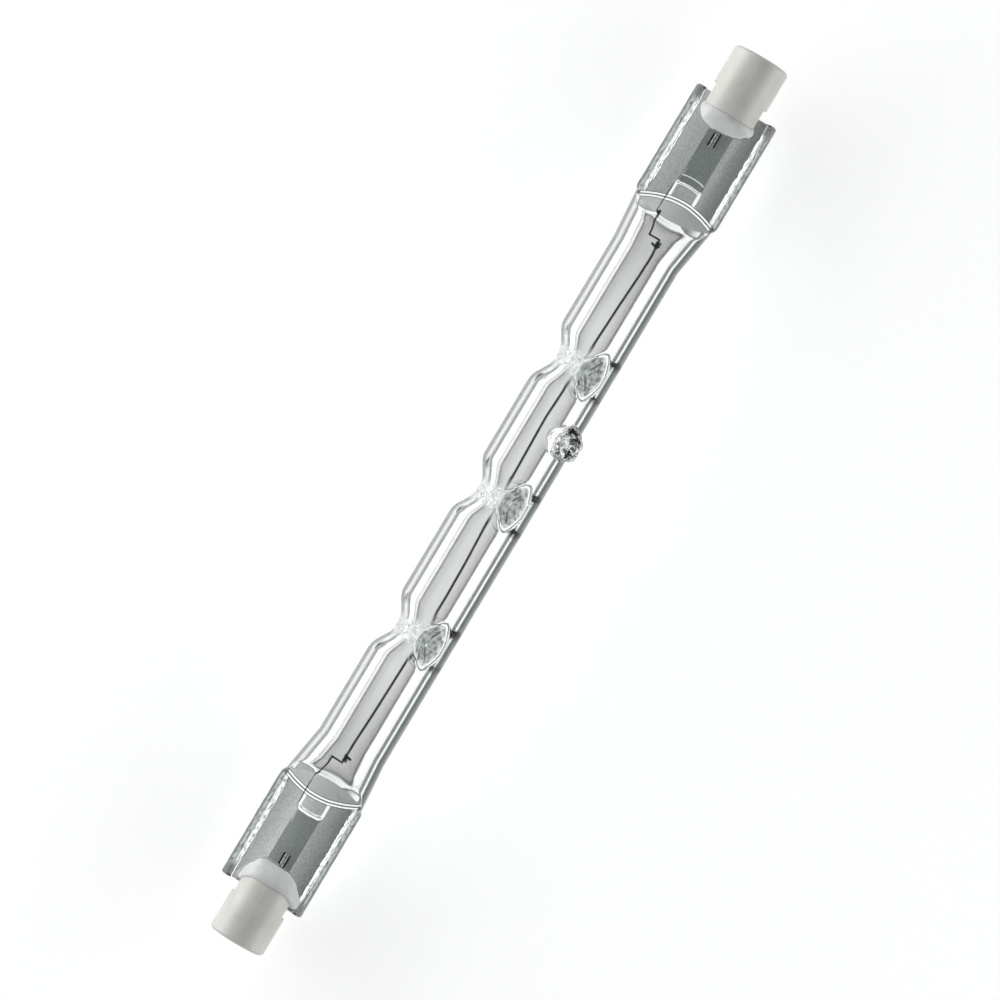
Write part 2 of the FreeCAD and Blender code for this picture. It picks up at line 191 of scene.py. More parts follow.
def web_height(place, side, end_key, pad_steps):
    """Half the thickness of the pressed web, which rises into the rails and into the tube."""
    left_edge = SEAL_WIDTH / 2 - RAIL_WIDTH + wave(place, end_key + 0.1, *RAIL_EDGE_WAVE)
    right_edge = SEAL_WIDTH / 2 - RAIL_WIDTH_LOW + wave(place, end_key + 0.7, *RAIL_EDGE_WAVE)
    half = np.where(side > 0, left_edge, right_edge)
    off_middle = np.clip(np.abs(side) / (SEAL_WIDTH / 2 - RAIL_WIDTH), 0, 1)
    bowed = JUNCTION - PRESS_BOW * off_middle ** 2
    outside = smooth_max(np.abs(side) - half, bowed - place, WEB_CORNER)
    height = WEB_TOP + smooth_max(outside, 0.0, WEB_FOOT) / PRESS_DRAFT
    pad_side = run_up(PAD_WIDTH / 2 - np.abs(side), 0, PAD_BEVEL)
    for length, step in pad_steps:
        pad_end = run_up(JUNCTION + length - PAD_BOW * side ** 2 - place, 0, PAD_BEVEL)
        height = height + step * np.minimum(pad_side, pad_end)
    return height


def pressed_half(place, end_key, pad_steps):
    """The upper half of the outside beyond the shoulder, evenly spaced from rim to rim."""
    widening = (SHOULDER_WIDTH / 2 - TUBE_RADIUS) * (place - SHOULDER_START)
    wing = widening / (JUNCTION - SHOULDER_START) * (1 - run_up(place, *WING_FADE))
    corner = run_up(place, RAIL_START, RAIL_START + RAIL_CORNER)
    bar_half = SEAL_WIDTH / 2 - RAIL_CORNER * (1 - math.sqrt(1 - (1 - corner) ** 2))
    bar_half += wave(place, end_key, *RAIL_SIDE_WAVE)
    if place < RAIL_START:
        bar_half = 0.0
    half_width = max(TUBE_RADIUS + wing, bar_half)
    turn = np.linspace(0, math.pi, DENSE_POINTS)
    side = half_width * np.cos(turn)
    past_wing = np.clip(np.abs(side) - wing, 0, TUBE_RADIUS)
    height = np.sqrt(TUBE_RADIUS ** 2 - past_wing ** 2)
    if bar_half > 0:
        in_round = np.clip((np.abs(side) - bar_half + RAIL_SIDE_ROUND) / RAIL_SIDE_ROUND, 0, 1)
        bar = RAIL_TOP * (1 - in_round ** RAIL_FULLNESS) ** (1 / RAIL_FULLNESS)
        height = np.maximum(height, bar)
    fall = (TUBE_RADIUS - RAIL_TOP) / (SLOPE_END - SLOPE_START)
    slope = smooth_max(TUBE_RADIUS - fall * (place - SLOPE_START), RAIL_TOP, SLOPE_FOOT)
    softness = CREST_SOFTNESS - CREST_SHARPENING * run_up(place, SLOPE_START + 1, SLOPE_END)
    height = smooth_min(height, slope, softness)
    web = web_height(place, side, end_key, pad_steps)
    height = smooth_min(height, web, WEB_EDGE)
    height[0] = 0
    height[-1] = 0
    step = np.hypot(np.diff(side), np.diff(height))
    way = np.concatenate([[0], np.cumsum(step)])
    even = np.linspace(0, way[-1], POINTS_AROUND // 2 + 1)
    return np.interp(even, way, side), np.interp(even, way, height)


def pressed_section(place, direction):
    """The whole outside at one place beyond the shoulder, as points across and up."""
    pad_steps = PAD_STEPS_LEFT if direction < 0 else PAD_STEPS_RIGHT
    top_side, top_height = pressed_half(place, 2 + direction, pad_steps)
    low_side, low_height = pressed_half(place, 5 + direction, PAD_STEPS_UNDER)
    across = np.concatenate([top_side[:-1], low_side[::-1][:-1]])
    up = np.concatenate([top_height[:-1], -low_height[::-1][:-1]])
    shift = -direction * SEAL_SHIFT * run_up(place, SHOULDER_START, JUNCTION)
    return across + shift, up


def stations(end, fine_places, coarse):
    """Places along the lamp, close together where the shape changes."""
    places = [-end]
    while places[-1] < end:
        here = places[-1]
        step = coarse
        for middle, reach, fine in fine_places:
            away = max(abs(here - middle) - reach, 0)
            step = min(step, fine + STEP_GROWTH * away)
        places.append(here + step)
    return np.array(places) * (end / places[-1])


def envelope_outside():
    """Rings of points round the outside, from the left end to the right end."""
    seal_reach = SEAL_END - SHOULDER_START
    fine = [(place, *CRIMP_MESH) for place in CRIMP_PLACES] + [(TIP_PLACE, *TIP_MESH)]
    fine += [(-SEAL_END, seal_reach, SEAL_STEP), (SEAL_END, seal_reach, SEAL_STEP)]
    angles = np.linspace(0, 2 * math.pi, POINTS_AROUND, endpoint=False)
    full = stations(SEAL_END - END_ROUND[0][0], fine, PLAIN_STEP)
    ends = [(SEAL_END - back, inset) for back, inset in END_ROUND[1:]]
    rows = [(-place, inset) for place, inset in reversed(ends)]
    rows += [(place, 0.0) for place in full] + ends
    rings = []
    for x, inset in rows:
        if abs(x) <= SHOULDER_START:
            radius = tube_section(x, angles, TUBE_RADIUS, CRIMP_FLOOR_RADIUS)
            across, up = radius * np.cos(angles), radius * np.sin(angles)
        else:
            across, up = pressed_section(abs(x), math.copysign(1, x))
        across = across * (1 - inset / (SEAL_WIDTH / 2))
        up = up * (1 - inset / RAIL_TOP)
        rings.append(np.stack([np.full_like(across, x), across, up], axis=1))
    return np.array(rings)


def raise_tip(rings):
    """Pulls the glass up into the lumpy tip, along the tip's own direction."""
    turn = math.radians(TIP_ANGLE)
    outwards = np.array([0, math.cos(turn), math.sin(turn)])
    sideways = np.array([0, -math.sin(turn), math.cos(turn)])
    along = rings[..., 0] - TIP_PLACE
    across = rings @ sideways
    height = rings @ outwards
    way = np.arctan2(across, along)
    lobes = 1 + sum(size * np.sin(count * way + start) for count, size, start in TIP_LOBES)
    reach = np.hypot(along, across) / lobes
    near = (reach < TIP_REACH) & (height > 0)
    dome = TIP_NOSE + (TIP_TOP - TIP_NOSE) * (1 - (reach / TIP_NOSE_RADIUS) ** 2)
    wall = TIP_NOSE - (reach - TIP_NOSE_RADIUS) * TIP_WALL_SLOPE
    target = smooth_min(dome, wall, TIP_SOFTNESS)
    for index in np.argwhere(near & (target > height - TIP_MARGIN)):
        spot = Vector(rings[tuple(index)])
        target[tuple(index)] += sum(noise.noise(spot * rate) * size for rate, size in TIP_LUMPS)
    raised = np.where(near, smooth_max(height, target, TIP_SOFTNESS), height)
    return rings + (raised - height)[..., None] * outwards


def envelope_bore():
    """Rings of points round the gas space, which ends in a slit at each seal."""
    end_reach = BORE_END - SHOULDER_START - 1
    fine = [(place, *CRIMP_MESH_BORE) for place in CRIMP_PLACES]
    fine += [(-BORE_END, end_reach, BORE_END_STEP), (BORE_END, end_reach, BORE_END_STEP)]
    angles = np.linspace(0, 2 * math.pi, POINTS_AROUND_BORE, endpoint=False)
    rings = []
    for x in stations(BORE_END, fine, PLAIN_STEP):
        place = abs(x)
        radius = tube_section(x, angles, BORE_RADIUS, CRIMP_HOLE_RADIUS)
        taper = run_up(place, BORE_END - BORE_TAPER_LENGTH, BORE_END)
        narrowing = 1 - taper * (1 - BORE_END_WIDTH / 2 / BORE_RADIUS)
        across = radius * np.cos(angles) * narrowing
        across = across - math.copysign(SEAL_SHIFT, x) * taper
        fall = (BORE_RADIUS - BORE_END_THICKNESS / 2) / BORE_SLOPE_LENGTH
        lid = BORE_END_THICKNESS / 2 + fall * (BORE_END - place)
        rise = np.abs(np.sin(angles)) * radius
        if place > BORE_LID_FROM:
            rise = smooth_min(rise, np.full_like(rise, lid), BORE_LID_SOFTNESS)
        up = np.clip(rise, 0, None) * np.sign(np.sin(angles))
        rings.append(np.stack([np.full_like(across, x), across, up], axis=1))
    return np.array(rings)


def skin_faces(ring_count, around, first, inwards):
    """Four-sided faces between rings, and one face over each end."""
    faces = []
    for ring in range(ring_count - 1):
        row = first + ring * around
        for spot in range(around):
            beside = (spot + 1) % around
            face = (row + spot, row + around + spot, row + around + beside, row + beside)
            faces.append(face if inwards else face[::-1])
    start = tuple(range(first, first + around))
    last_row = first + (ring_count - 1) * around
    end = tuple(range(last_row, last_row + around))
    faces.append(start if inwards else start[::-1])
    faces.append(end[::-1] if inwards else end)
    return faces


def new_piece(name, points, faces, materials, body="root"):
    """A mesh piece from points in millimetres round the lamp's axis."""
    mesh = bpy.data.meshes.new(name)
    lifted = np.asarray(points, dtype=float) + np.array([0, 0, AXIS_HEIGHT])
    mesh.from_pydata((lifted * MM).tolist(), [], faces)
    for material in materials:
        mesh.materials.append(material)
    mesh.polygons.foreach_set("use_smooth", [True] * len(mesh.polygons))
    piece = bpy.data.objects.new(name, mesh)
    bpy.context.collection.objects.link(piece)
    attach(piece, body)
    return piece


def linear(hex_colour):
    """A colour written as sRGB hex, as the renderer's linear values."""
    values = [int(hex_colour[i:i + 2], 16) / 255 for i in (0, 2, 4)]
    return [v / 12.92 if v <= 0.04045 else ((v + 0.055) / 1.055) ** 2.4 for v in values] + [1.0]


def add_node(tree, kind, inputs=(), stops=(), **settings):
    """Adds a shader node with its settings, and links or sets each input."""
    made = tree.nodes.new("ShaderNode" + kind)
    for name, value in settings.items():
        setattr(made, name, value)
    for socket, value in dict(inputs).items():
        if isinstance(value, bpy.types.Node):
            value = next(output for output in value.outputs if output.enabled)
        if isinstance(value, bpy.types.NodeSocket):
            tree.links.new(value, made.inputs[socket])
        else:
            made.inputs[socket].default_value = value
    if stops:
        ramp = made.color_ramp
        while len(ramp.elements) < len(stops):
            ramp.elements.new(0.5)
        for element, (place, colour) in zip(ramp.elements, stops):
            element.position = place
            element.color = linear(colour)
    return made


def clouds(tree, place, size, detail, distortion=0.0):
    """A cloudy pattern whose marks are about as large as the size in millimetres."""
    return add_node(tree, "TexNoise", {
        "Vector": place, "Scale": 1 / (size * MM), "Detail": detail, "Distortion": distortion})


def product(tree, first, second):
    return add_node(tree, "Math", {0: first, 1: second}, operation="MULTIPLY")


# Settings of a mix node: one colour by another, and one colour shaded by another
COLOUR = {"data_type": "RGBA"}
SHADE = {"data_type": "RGBA", "blend_type": "MULTIPLY"}


def span(start, end):
    """The ends of a stretch in millimetres, as the inputs of a map range."""
    return {1: start * MM, 2: end * MM}


def new_material(name):
    """An empty material, and its node tree."""
    material = bpy.data.materials.new(name)
    material.use_nodes = True
    material.node_tree.nodes.clear()
    return material, material.node_tree


# Clear fused quartz, drawn and flame polished. Its colour carries painted light and shade: painted
# grey where it is seen square on, painted highlights where it curves away, between thin painted
# dark lines, and more painted grey over the crimps and the seal.
# The index is below quartz's own 1.46, which makes the rims of so small a tube too dark here.
QUARTZ_IOR = 1.36
PASSED_LIGHT = "f4f6f5"
WHITE = "ffffff"
# The rings of crimps lie this far apart, the middle one close to the lamp's middle
CRIMP_SPACING = 17.9
MID_LAMP = span(27.0, 26.0)
LOW_SIDE = span(2.0, -2.0)
RIGHT_HALF = span(-1.0, 1.0)


def find_places(tree):
    """Where a point lies from the lamp's middle and axis, and a share for the crimped length."""
    place = add_node(tree, "TexCoord").outputs["Object"]
    centred = add_node(tree, "VectorMath", {
        0: place, 1: (0, 0, -AXIS_HEIGHT * MM)}, operation="ADD")
    along, across, up = add_node(tree, "SeparateXYZ", {0: centred}).outputs
    away = add_node(tree, "Math", {0: along}, operation="ABSOLUTE")
    mid_lamp = add_node(tree, "MapRange", {0: away, **MID_LAMP})
    return SimpleNamespace(
        place=place, centred=centred, along=along, across=across, up=up, away=away,
        mid_lamp=mid_lamp)


def find_quartz_places(tree):
    """The same for the outer skin, and how squarely it is seen, which side and how far out."""
    at = find_places(tree)
    at.facing = add_node(tree, "LayerWeight", {"Blend": 0.5}).outputs["Facing"]
    sideways = add_node(tree, "VectorMath", {0: at.centred, 1: (0, 1, 1)}, operation="MULTIPLY")
    at.from_axis = add_node(tree, "VectorMath", {0: sideways}, operation="LENGTH")
    at.low_side = add_node(tree, "MapRange", {0: at.across, **LOW_SIDE})
    at.right_half = add_node(tree, "MapRange", {0: at.along, **RIGHT_HALF})
    at.seal_shift = add_node(tree, "Math", {
        0: at.right_half, 1: 2 * SEAL_SHIFT * MM, 2: -SEAL_SHIFT * MM},
        operation="MULTIPLY_ADD")
    from_line = add_node(tree, "Math", {0: at.across, 1: at.seal_shift}, operation="ADD")
    at.seal_side = add_node(tree, "Math", {0: from_line}, operation="ABSOLUTE")
    return at


def near_crimp(tree, at, reach):
    """A share by how near a point is to the middle of a ring of crimps, along the lamp."""
    half = CRIMP_SPACING / 2 * MM
    nearest = add_node(tree, "Math", {0: at.along, 1: half, 2: -half}, operation="WRAP")
    distance = add_node(tree, "Math", {0: nearest}, operation="ABSOLUTE")
    close = add_node(tree, "MapRange", {0: distance, **reach})
    return product(tree, close, at.mid_lamp)


# Each row: how far the surface turns away, and the colour that white paper has through it. These
# are painted light and shade: a painted grey middle, painted highlight bands and painted dark
# lines
UPPER_TUBE_PAINTED_LIGHT = (
    (0.0, "d9dad9"), (0.05, "c2c3c2"), (0.078, "bcbdbc"), (0.088, "868686"), (0.1, "888888"),
    (0.118, "e2e2e2"), (0.155, "c6c6c6"), (0.19, "fafcfb"), (0.29, "fafcfb"), (0.32, "9a9c9b"),
    (0.36, "9ea09f"), (0.44, "e8eae9"), (0.50, "eaeceb"), (0.6, "a0a2a1"), (0.75, "868887"),
    (1.0, "707271"))
LOWER_TUBE_PAINTED_LIGHT = (
    (0.0, "cfcfce"), (0.036, "bab9b9"), (0.062, "a9a9a8"), (0.072, "717170"), (0.082, "818180"),
    (0.1, "e8e8e8"), (0.13, "fafafa"), (0.25, "e4e6e5"), (0.28, "8a8c8b"), (0.34, "7a7c7b"),
    (0.38, "f4f8f6"), (0.41, "f4f8f6"), (0.46, "5a605e"), (0.56, "5c6260"), (0.72, "747877"),
    (1.0, "8c908e"))
# Painted shade on the tube where it is seen square on, towards its ends
END_SHADE = "e0e0e0"
END_SHADE_PLACE = span(23.0, 35.0)
END_SHADE_TURN = {1: 0.11, 2: 0.08}


def tube_glass(tree, at):
    """The drawn tube: painted bands of highlight and shade, darker on its low side, and painted
    shade square on near its ends.
    """
    upper = add_node(tree, "ValToRGB", {0: at.facing}, UPPER_TUBE_PAINTED_LIGHT)
    lower = add_node(tree, "ValToRGB", {0: at.facing}, LOWER_TUBE_PAINTED_LIGHT)
    # The low side, away from the key softbox, gets the darker rows: painted shade
    tube = add_node(tree, "Mix", {0: at.low_side, 6: upper, 7: lower}, **COLOUR)
    towards_end = add_node(tree, "MapRange", {0: at.away, **END_SHADE_PLACE})
    square_on = add_node(tree, "MapRange", {0: at.facing, **END_SHADE_TURN})
    share = product(tree, towards_end, square_on)
    shade = add_node(tree, "Mix", {0: share, 6: linear(WHITE), 7: linear(END_SHADE)}, **COLOUR)
    return add_node(tree, "Mix", {0: 1.0, 6: tube, 7: shade}, **SHADE)


# Painted highlight and painted shade of the dimples: a bright outline, dark lines and a grey
# mottle. Rows by depth, then by the strength of a cloudy pattern
PRESSED_PAINTED_LIGHT = (
    (0.0, "f8faf9"), (0.04, "f8faf9"), (0.07, "848887"), (0.13, "8a8e8d"), (0.17, "ffffff"),
    (0.26, "ffffff"), (0.32, "c6cac8"), (0.6, "dcdfde"), (1.0, "b0b4b2"))
CRIMP_PAINTED_MOTTLE = ((0.36, "a2a6a4"), (0.5, "e6e8e7"), (0.6, "ffffff"))
PRESSED_DEPTH = span(0.0, 1.2)
PRESSED_EDGE = span(0.02, 0.05)
PRESSED_INNER = {1: 0.25, 2: 0.4}
PRESSED_SIDE = span(0.6, -0.2)
# The cloudy marks in a dimple about 3 mm wide, as large as they look on a real one
MARK_SIZE = 0.7
MARK_SHARE = 0.5
SPOT_SIZE = 0.5


def crimp_glass(tree, at, tube):
    """The dimples on the low side: a painted highlight round each, painted dark lines, a painted
    grey mottle, and the relief of their rough floor.
    """
    depth = add_node(tree, "Math", {0: TUBE_RADIUS * MM, 1: at.from_axis}, operation="SUBTRACT")
    deep = add_node(tree, "MapRange", {0: depth, **PRESSED_DEPTH})
    marks = clouds(tree, at.place, MARK_SIZE, 3.0)
    mottled = add_node(tree, "Math", {0: marks, 1: MARK_SHARE, 2: deep}, operation="MULTIPLY_ADD")
    inner = add_node(tree, "MapRange", {0: deep, **PRESSED_INNER})
    look = add_node(tree, "Mix", {0: inner, 2: deep, 3: mottled})
    pressed = add_node(tree, "ValToRGB", {0: look}, PRESSED_PAINTED_LIGHT)
    spots = clouds(tree, at.place, SPOT_SIZE, 3.0)
    mottle = add_node(tree, "ValToRGB", {0: spots}, CRIMP_PAINTED_MOTTLE)
    pressed = add_node(tree, "Mix", {0: inner, 6: pressed, 7: mottle}, **SHADE)
    is_pressed = add_node(tree, "MapRange", {0: depth, **PRESSED_EDGE})
    on_low_side = add_node(tree, "MapRange", {0: at.across, **PRESSED_SIDE})
    low_crimp = product(tree, is_pressed, on_low_side)
    is_crimp = product(tree, low_crimp, at.mid_lamp)
    is_floor = product(tree, is_crimp, inner)
    height = product(tree, marks, is_floor)
    colour = add_node(tree, "Mix", {0: is_crimp, 6: tube, 7: pressed}, **COLOUR)
    return colour, height


# Painted glints and dark lines; rows by the strength of a cloudy pattern, here and for the tip
NECK_PAINTED_GLINTS = (
    (0.38, "c8caca"), (0.42, "ffffff"), (0.46, "8a8c8c"), (0.49, "d8dada"), (0.53, "ffffff"),
    (0.56, "9a9c9c"), (0.6, "fafafa"))
NECK_REACH = span(1.7, 0.8)
NECK_SIDE = span(-0.5, 0.3)
FLAW_SIZE = 0.5


def neck_glass(tree, at, tube):
    """The narrow glass across from the dimples: its small folds drawn as painted glints and
    painted dark lines.
    """
    ring = near_crimp(tree, at, NECK_REACH)
    side = add_node(tree, "MapRange", {0: at.across, **NECK_SIDE})
    neck = product(tree, ring, side)
    flaws = clouds(tree, at.place, FLAW_SIZE, 2.0, 0.6)
    painted_fold_glints = add_node(tree, "ValToRGB", {0: flaws}, NECK_PAINTED_GLINTS)
    return add_node(tree, "Mix", {0: neck, 6: tube, 7: painted_fold_glints}, **COLOUR)


TIP_PAINTED_GLINTS = (
    (0.0, "ffffff"), (0.37, "f4f6f5"), (0.39, "202422"), (0.42, "303432"), (0.44, "f8faf9"),
    (0.51, "ffffff"), (0.53, "2c302e"), (0.55, "404442"), (0.57, "ffffff"), (0.62, "a0a4a2"),
    (0.7, "f4f6f5"))
TIP_BESIDE = span(3.4, 3.0)
TIP_RAISED = span(4.4, 4.6)
CRUMB_SIZE = 0.36


def tip_glass(tree, at, tube):
    """The melted-off tip: painted glints and dark specks that make it glitter like crushed ice,
    and its relief.
    """
    past_tip = add_node(tree, "Math", {0: at.along, 1: TIP_PLACE * MM}, operation="SUBTRACT")
    near_tip = add_node(tree, "Math", {0: past_tip}, operation="ABSOLUTE")
    beside = add_node(tree, "MapRange", {0: near_tip, **TIP_BESIDE})
    raised = add_node(tree, "MapRange", {0: at.from_axis, **TIP_RAISED})
    is_tip = product(tree, beside, raised)
    crumbs = clouds(tree, at.place, CRUMB_SIZE, 2.0, 0.3)
    crushed = add_node(tree, "ValToRGB", {0: crumbs}, TIP_PAINTED_GLINTS)
    colour = add_node(tree, "Mix", {0: is_tip, 6: tube, 7: crushed}, **COLOUR)
    height = product(tree, crumbs, is_tip)
    return colour, height


# Rows by how far the surface turns away, then by place across the seal. The first are painted
# highlight lines and painted shadows round the steps; across the seal the plate is painted grey,
# darker towards the low side as painted shade.
SEAL_PAINTED_HIGHLIGHTS = (
    (0.0, "000000"), (0.06, "000000"), (0.08, "ffffff"), (0.125, "ffffff"), (0.15, "5c5c5c"),
    (0.205, "5c5c5c"), (0.235, "ffffff"), (0.6, "ffffff"), (0.66, "303030"), (1.0, "303030"))
SEAL_SHADOWS = (
    (0.0, "ffffff"), (0.045, "ffffff"), (0.062, "8c908e"), (0.08, "ffffff"), (0.6, "ffffff"),
    (0.66, "7c807e"), (1.0, "8c908e"))
PLATE_LEFT_PAINTED_SHADE = (
    (0.11, "646866"), (0.37, "949896"), (0.5, "a0a3a1"), (0.67, "b8b9b8"), (0.87, "a0a1a0"))
PLATE_RIGHT_PAINTED_SHADE = (
    (0.13, "707472"), (0.23, "808482"), (0.29, "969a98"), (0.67, "949896"), (0.8, "a2a4a3"))
PLATE_GRAIN = ((0.4, "ecedec"), (0.6, "ffffff"))
PLATE_SPAN = span(-5.5, 5.5)
# The grain of the jaws is finer on a real seal; a little coarser, it shows
SPECK_SIZE = 0.22


def seal_plate(tree, at):
    """The pressed web: painted grey, darker to its low side, grained, with painted highlight lines
    and painted shadows round its steps.
    """
    across = add_node(tree, "MapRange", {0: at.across, **PLATE_SPAN})
    left = add_node(tree, "ValToRGB", {0: across}, PLATE_LEFT_PAINTED_SHADE)
    right = add_node(tree, "ValToRGB", {0: across}, PLATE_RIGHT_PAINTED_SHADE)
    plate = add_node(tree, "Mix", {0: at.right_half, 6: left, 7: right}, **COLOUR)
    specks = clouds(tree, at.place, SPECK_SIZE, 2.0)
    grain = add_node(tree, "ValToRGB", {0: specks}, PLATE_GRAIN)
    plate = add_node(tree, "Mix", {0: 1.0, 6: plate, 7: grain}, **SHADE)
    lines = add_node(tree, "ValToRGB", {0: at.facing}, SEAL_PAINTED_HIGHLIGHTS)
    shadows = add_node(tree, "ValToRGB", {0: at.facing}, SEAL_SHADOWS)
    lined = add_node(tree, "Mix", {0: lines, 6: plate, 7: linear(WHITE)}, **COLOUR)
    return add_node(tree, "Mix", {0: 1.0, 6: lined, 7: shadows}, **SHADE)


RAIL_STREAKS = ((0.34, "a0a4a2"), (0.44, "ccd0ce"), (0.5, "ffffff"))
# Painted highlights and painted shade in bands across each rail, from its inner edge outwards
RAIL_PAINTED_BANDS = (
    (0.057, "8c908e"), (0.13, "7e8280"), (0.18, "f4f6f5"), (0.42, "f8faf9"), (0.5, "989c9a"),
    (0.64, "bcc0be"), (0.75, "b0b4b2"), (0.84, "8a8e8c"), (0.92, "5c605e"), (1.0, "6c706e"))
RAIL_EDGE = span(3.97, 4.02)
RAIL_SPAN = span(4.05, 5.45)
RAIL_RAGGED = 0.3
RAIL_END_SHADE = "7e8280"
RAIL_END_PLACE = span(SEAL_END - 2.0, SEAL_END - 1.2)
STREAK_SIZE = 0.24
STREAK_STRETCH = 0.4


def seal_rails(tree, at, plate):
    """The thick rims of the seal: bands of painted highlight and painted shade across them,
    streaks drawn out along them, and painted shade towards the seal's end.
    """
    stretched = add_node(tree, "VectorMath", {
        0: at.place, 1: (STREAK_STRETCH, 1, 1)}, operation="MULTIPLY")
    drawn = clouds(tree, stretched, STREAK_SIZE, 3.0)
    streaks = add_node(tree, "ValToRGB", {0: drawn}, RAIL_STREAKS)
    ragged = add_node(tree, "Math", {
        0: drawn, 1: RAIL_RAGGED * MM, 2: at.seal_side}, operation="MULTIPLY_ADD")
    across = add_node(tree, "MapRange", {0: ragged, **RAIL_SPAN})
    bands = add_node(tree, "ValToRGB", {0: across}, RAIL_PAINTED_BANDS)
    rail = add_node(tree, "Mix", {0: 1.0, 6: bands, 7: streaks}, **SHADE)
    at_end = add_node(tree, "MapRange", {0: at.away, **RAIL_END_PLACE})
    rail = add_node(tree, "Mix", {0: at_end, 6: rail, 7: linear(RAIL_END_SHADE)}, **COLOUR)
    on_rail = add_node(tree, "MapRange", {0: at.seal_side, **RAIL_EDGE})
    return add_node(tree, "Mix", {0: on_rail, 6: plate, 7: rail}, **COLOUR)


# The slope painted grey and darker to its low side; painted highlight lines, painted shadows by
# them
SLOPE_PAINTED_SHADE = ("aeb1b0", "929694")
PRESS_PAINTED_HIGHLIGHTS = (
    (0.0, "000000"), (0.28, "000000"), (0.33, "ffffff"), (0.43, "ffffff"), (0.47, "303030"),
    (0.57, "303030"), (0.62, "ffffff"), (0.71, "ffffff"), (0.75, "000000"))
PRESS_SHADOWS = (
    (0.0, "ffffff"), (0.2, "ffffff"), (0.27, "9a9e9c"), (0.45, "a0a4a2"), (0.6, "a0a4a2"),
    (0.76, "8c908e"), (0.84, "ffffff"))
PRESS_SPAN = span(39.1, 40.5)
PRESS_LINE_BOW = 0.055
PRESS_LINE_SHIFT = 3.2
SEAL_FROM = span(40.1, 40.25)
INSIDE_RAILS = span(4.6, 4.4)


def press_lines(tree, at, seal):
    """The slope down to the seal, painted grey and darker to its low side, and bowed lines of
    painted highlight along the step the jaws' edge left, with painted shadows beside them.
    """
    off_line = add_node(tree, "Math", {
        0: at.seal_shift, 1: PRESS_LINE_SHIFT, 2: at.across},
        operation="MULTIPLY_ADD")
    squared = product(tree, off_line, off_line)
    bowed = add_node(tree, "Math", {
        0: squared, 1: PRESS_LINE_BOW / MM, 2: at.away}, operation="MULTIPLY_ADD")
    past_press = add_node(tree, "MapRange", {0: bowed, **SEAL_FROM})
    slope = add_node(tree, "Mix", {
        0: at.low_side, 6: linear(SLOPE_PAINTED_SHADE[0]), 7: linear(SLOPE_PAINTED_SHADE[1])},
        **COLOUR)
    glass = add_node(tree, "Mix", {0: past_press, 6: slope, 7: seal}, **COLOUR)
    across = add_node(tree, "MapRange", {0: bowed, **PRESS_SPAN})
    shadows = add_node(tree, "ValToRGB", {0: across}, PRESS_SHADOWS)
    lines = add_node(tree, "ValToRGB", {0: across}, PRESS_PAINTED_HIGHLIGHTS)
    shaded = add_node(tree, "Mix", {0: 1.0, 6: glass, 7: shadows}, **SHADE)
    inside_rails = add_node(tree, "MapRange", {0: at.seal_side, **INSIDE_RAILS})
    share = product(tree, lines, inside_rails)
    return add_node(tree, "Mix", {0: share, 6: shaded, 7: linear(WHITE)}, **COLOUR)


CREST = span(37.15, 37.3)
CREST_BOW = 0.05
CRIMP_RELIEF = 0.5


def quartz_colour(tree, at):
    """The painted light and shade on each part of the outer skin, as the colour of white paper
    through it, and the skin's relief.
    """
    tube, crimp_height = crimp_glass(tree, at, tube_glass(tree, at))
    tube, tip_height = tip_glass(tree, at, neck_glass(tree, at, tube))
    seal = press_lines(tree, at, seal_rails(tree, at, seal_plate(tree, at)))
    squared = product(tree, at.across, at.across)
    bowed = add_node(tree, "Math", {
        0: squared, 1: -CREST_BOW / MM, 2: at.away}, operation="MULTIPLY_ADD")
    past_crest = add_node(tree, "MapRange", {0: bowed, **CREST})
    entering = add_node(tree, "Mix", {0: past_crest, 6: tube, 7: seal}, **COLOUR)
    leaving = add_node(tree, "NewGeometry").outputs["Backfacing"]
    seen = add_node(tree, "Mix", {0: leaving, 6: entering, 7: linear(WHITE)}, **COLOUR)
    height = add_node(tree, "Math", {
        0: crimp_height, 1: CRIMP_RELIEF, 2: tip_height}, operation="MULTIPLY_ADD")
    return seen, height


UNDER_SIDE = span(0.1, -0.1)
UNDER_FROM = span(JUNCTION - 6.4, JUNCTION - 5.4)
UNDER_TO = span(JUNCTION + 0.8, JUNCTION + 0.3)


def under_shoulder(tree, at):
    """A share for the underside of the shoulder, where the light goes straight through."""
    under = add_node(tree, "MapRange", {0: at.up, **UNDER_SIDE})
    past_start = add_node(tree, "MapRange", {0: at.away, **UNDER_FROM})
    before_end = add_node(tree, "MapRange", {0: at.away, **UNDER_TO})
    shoulder = product(tree, past_start, before_end)
    return product(tree, shoulder, under)


RELIEF_HEIGHT = 0.13


def polished_quartz():
    """The outer skin: smooth and glossy, with painted light and shade by place and by how squarely
    it is seen, and nearly clear to the lamps' light.
    """
    material, tree = new_material("fused_quartz_fire_polished")
    at = find_quartz_places(tree)
    seen, height = quartz_colour(tree, at)
    painted_light_and_shade = add_node(tree, "Mix", {0: 1.0, 6: seen, 7: seen}, **SHADE)
    lumps = add_node(tree, "Bump", {
        "Height": height, "Strength": 1.0, "Distance": RELIEF_HEIGHT * MM})
    glass = add_node(tree, "BsdfPrincipled", {
        "Base Color": painted_light_and_shade, "Roughness": 0.0, "IOR": QUARTZ_IOR, "Transmission Weight": 1.0,
        "Normal": lumps})
    film = add_node(tree, "BsdfTransparent", {"Color": seen})
    skin = add_node(tree, "MixShader", {0: under_shoulder(tree, at), 1: glass, 2: film})
    clear = add_node(tree, "BsdfTransparent", {"Color": linear(PASSED_LIGHT)})
    shadow = add_node(tree, "LightPath").outputs["Is Shadow Ray"]
    surface = add_node(tree, "MixShader", {0: shadow, 1: skin, 2: clear})
    add_node(tree, "OutputMaterial", {"Surface": surface})
    return material


